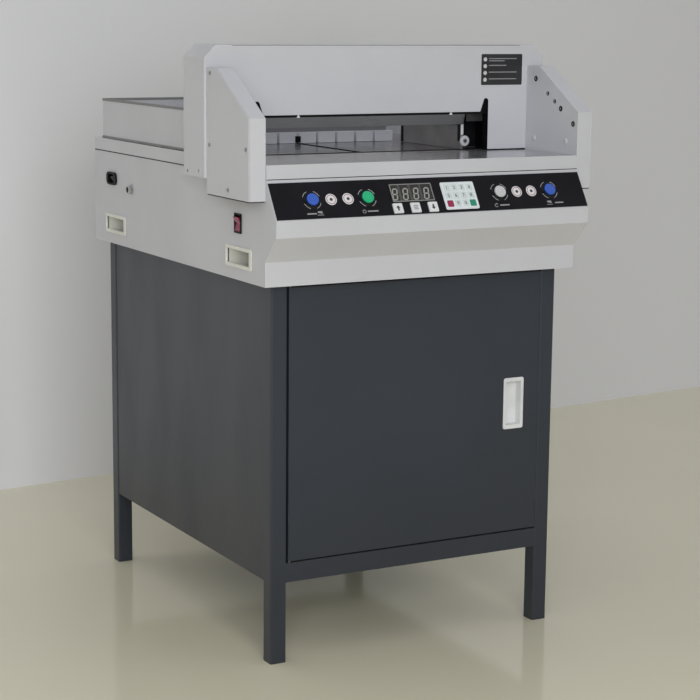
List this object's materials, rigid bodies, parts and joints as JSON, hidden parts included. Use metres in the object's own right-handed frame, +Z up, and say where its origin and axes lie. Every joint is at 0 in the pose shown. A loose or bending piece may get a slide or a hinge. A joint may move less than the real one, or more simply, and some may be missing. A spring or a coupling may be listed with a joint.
{
  "type": "guillotine paper cutter",
  "caption": "Floor-standing electric guillotine paper cutter: steel cabinet with a door, sloping control panel, steel table, hooded knife and clamp, side guards and powered backgauge.",
  "frame": {"origin": "on the floor, under the middle of the whole machine's footprint; the cabinet's own middle is 25.1 mm behind it (+Y)", "axes": "+Z up; +X to the right of a person at the controls; +Y to the back, so the controls and the cabinet door face -Y"},
  "size_m": [0.73, 0.8642, 1.1225],
  "materials": {
    "cabinet_paint": "satin, fine powder texture",
    "machine_paint": "satin, fine powder texture",
    "table_steel": "polished, mirror-like",
    "knife_steel": "ground",
    "blackened_steel": "blackened",
    "cast_frame": "machined and painted dark",
    "bright_steel": "turned and ground",
    "motor_paint": "satin black",
    "ivory_plastic": "moulded, fine grain",
    "white_plastic": "moulded, smooth",
    "black_plastic": "moulded, fine grain",
    "chrome_ring": "polished",
    "blue_plastic": "moulded, smooth",
    "green_plastic": "moulded, smooth",
    "red_plastic": "moulded, glossy",
    "dark_window": "clear over black",
    "pale_gauge": "satin",
    "stick_plastic": "moulded, scored by the knife"
  },
  "bodies": {
    "machine": {"cabinet_frame": "cabinet_paint", "side_panel_left": "cabinet_paint", "side_panel_right": "cabinet_paint", "back_panel": "cabinet_paint", "cabinet_floor": "cabinet_paint", "door_hinge_pin_upper": "bright_steel", "door_hinge_pin_lower": "bright_steel", "base_casing": "machine_paint", "carry_handle_front_left": "ivory_plastic", "carry_handle_front_right": "ivory_plastic", "carry_handle_rear_left": "ivory_plastic", "carry_handle_rear_right": "ivory_plastic", "power_inlet": "black_plastic", "key_switch_barrel": "chrome_ring", "rocker_bezel": "black_plastic", "control_panel": "black_plastic", "display_window": "dark_window", "membrane_keypad": "white_plastic", "cut_button_left_bezel": "chrome_ring", "cut_button_right_bezel": "chrome_ring", "power_button_bezel": "chrome_ring", "reset_button_bezel": "chrome_ring", "table_plate": "table_steel", "cutting_stick": "stick_plastic", "machine_base": "cast_frame", "side_frame_left": "cast_frame", "side_frame_right": "cast_frame", "tie_bar": "cast_frame", "drive_gearbox": "cast_frame", "drive_motor": "motor_paint", "backgauge_motor": "motor_paint", "side_lay_left": "cast_frame", "side_lay_right": "cast_frame", "hood_shell": "machine_paint", "front_cover": "machine_paint", "wing_left": "machine_paint", "wing_right": "machine_paint", "wing_plate_left": "machine_paint", "wing_plate_right": "machine_paint", "rear_guard": "machine_paint"},
    "door": {"cabinet_door": "cabinet_paint", "door_pull": "white_plastic"},
    "cut_left": {"cut_button_left": "blue_plastic"},
    "cut_right": {"cut_button_right": "blue_plastic"},
    "power": {"power_button": "green_plastic"},
    "reset": {"reset_button": "white_plastic"},
    "minus": {"key_minus": "white_plastic"},
    "select": {"key_select": "white_plastic"},
    "plus": {"key_plus": "white_plastic"},
    "rocker_cap": {"rocker": "red_plastic"},
    "key_core": {"key_switch_core": "black_plastic"},
    "knife": {"knife_blade": "knife_steel", "knife_beam": "blackened_steel", "knife_yoke": "bright_steel"},
    "crank": {"knife_crank": "bright_steel"},
    "clamp": {"clamp_beam": "cast_frame"},
    "spindle": {"clamp_spindle": "bright_steel"},
    "backgauge": {"backgauge_comb": "pale_gauge", "backgauge_carriage": "blackened_steel"},
    "screw": {"backgauge_screw": "bright_steel"}
  },
  "joints": [
    {"name": "door_hinge", "type": "hinge", "parent": "machine", "child": "door", "pos_m": [-0.2645, -0.3584, 0.44475], "axis": [0, 0, -1], "range_deg": [0, 100]},
    {"name": "cut_left_press", "type": "slide", "parent": "machine", "child": "cut_left", "axis": [0, 0.8503, -0.5263], "range_m": [0, 0.003]},
    {"name": "cut_right_press", "type": "slide", "parent": "machine", "child": "cut_right", "axis": [0, 0.8503, -0.5263], "range_m": [0, 0.003]},
    {"name": "power_press", "type": "slide", "parent": "machine", "child": "power", "axis": [0, 0.8503, -0.5263], "range_m": [0, 0.003]},
    {"name": "reset_press", "type": "slide", "parent": "machine", "child": "reset", "axis": [0, 0.8503, -0.5263], "range_m": [0, 0.003]},
    {"name": "minus_press", "type": "slide", "parent": "machine", "child": "minus", "axis": [0, 0.8503, -0.5263], "range_m": [0, 0.001]},
    {"name": "select_press", "type": "slide", "parent": "machine", "child": "select", "axis": [0, 0.8503, -0.5263], "range_m": [0, 0.001]},
    {"name": "plus_press", "type": "slide", "parent": "machine", "child": "plus", "axis": [0, 0.8503, -0.5263], "range_m": [0, 0.001]},
    {"name": "rocker_tilt", "type": "hinge", "parent": "machine", "child": "rocker_cap", "pos_m": [-0.3243, -0.2779, 0.807], "axis": [0, 1, 0], "range_deg": [0, 18]},
    {"name": "key_turn", "type": "hinge", "parent": "machine", "child": "key_core", "pos_m": [-0.33, 0.2311, 0.824], "axis": [-1, 0, 0], "range_deg": [0, 90]},
    {"name": "knife_slide", "type": "slide", "parent": "machine", "child": "knife", "axis": [0, 0, -1], "range_m": [0, 0.0486]},
    {"name": "crank_turn", "type": "hinge", "parent": "machine", "child": "crank", "pos_m": [-0.022, -0.1749, 0.8336], "axis": [0, 1, 0], "range_deg": [0, 180]},
    {"name": "clamp_slide", "type": "slide", "parent": "machine", "child": "clamp", "axis": [0, 0, -1], "range_m": [0, 0.05]},
    {"name": "spindle_turn", "type": "hinge", "parent": "machine", "child": "spindle", "pos_m": [-0.022, -0.15365, 1], "axis": [0, 0, 1], "range_deg": [0, 3600]},
    {"name": "backgauge_slide", "type": "slide", "parent": "machine", "child": "backgauge", "axis": [0, 1, 0], "range_m": [-0.221, 0.186]},
    {"name": "screw_turn", "type": "hinge", "parent": "machine", "child": "screw", "pos_m": [-0.022, 0.0251, 0.887], "axis": [0, 1, 0], "range_deg": [-15920, 13400]}
  ],
  "couplings": [
    {"joint": "crank_turn", "follows": "knife_slide", "rad_per_m": 64.6},
    {"joint": "spindle_turn", "follows": "clamp_slide", "rad_per_m": 1256.6},
    {"joint": "screw_turn", "follows": "backgauge_slide", "rad_per_m": 1256.6}
  ]
}
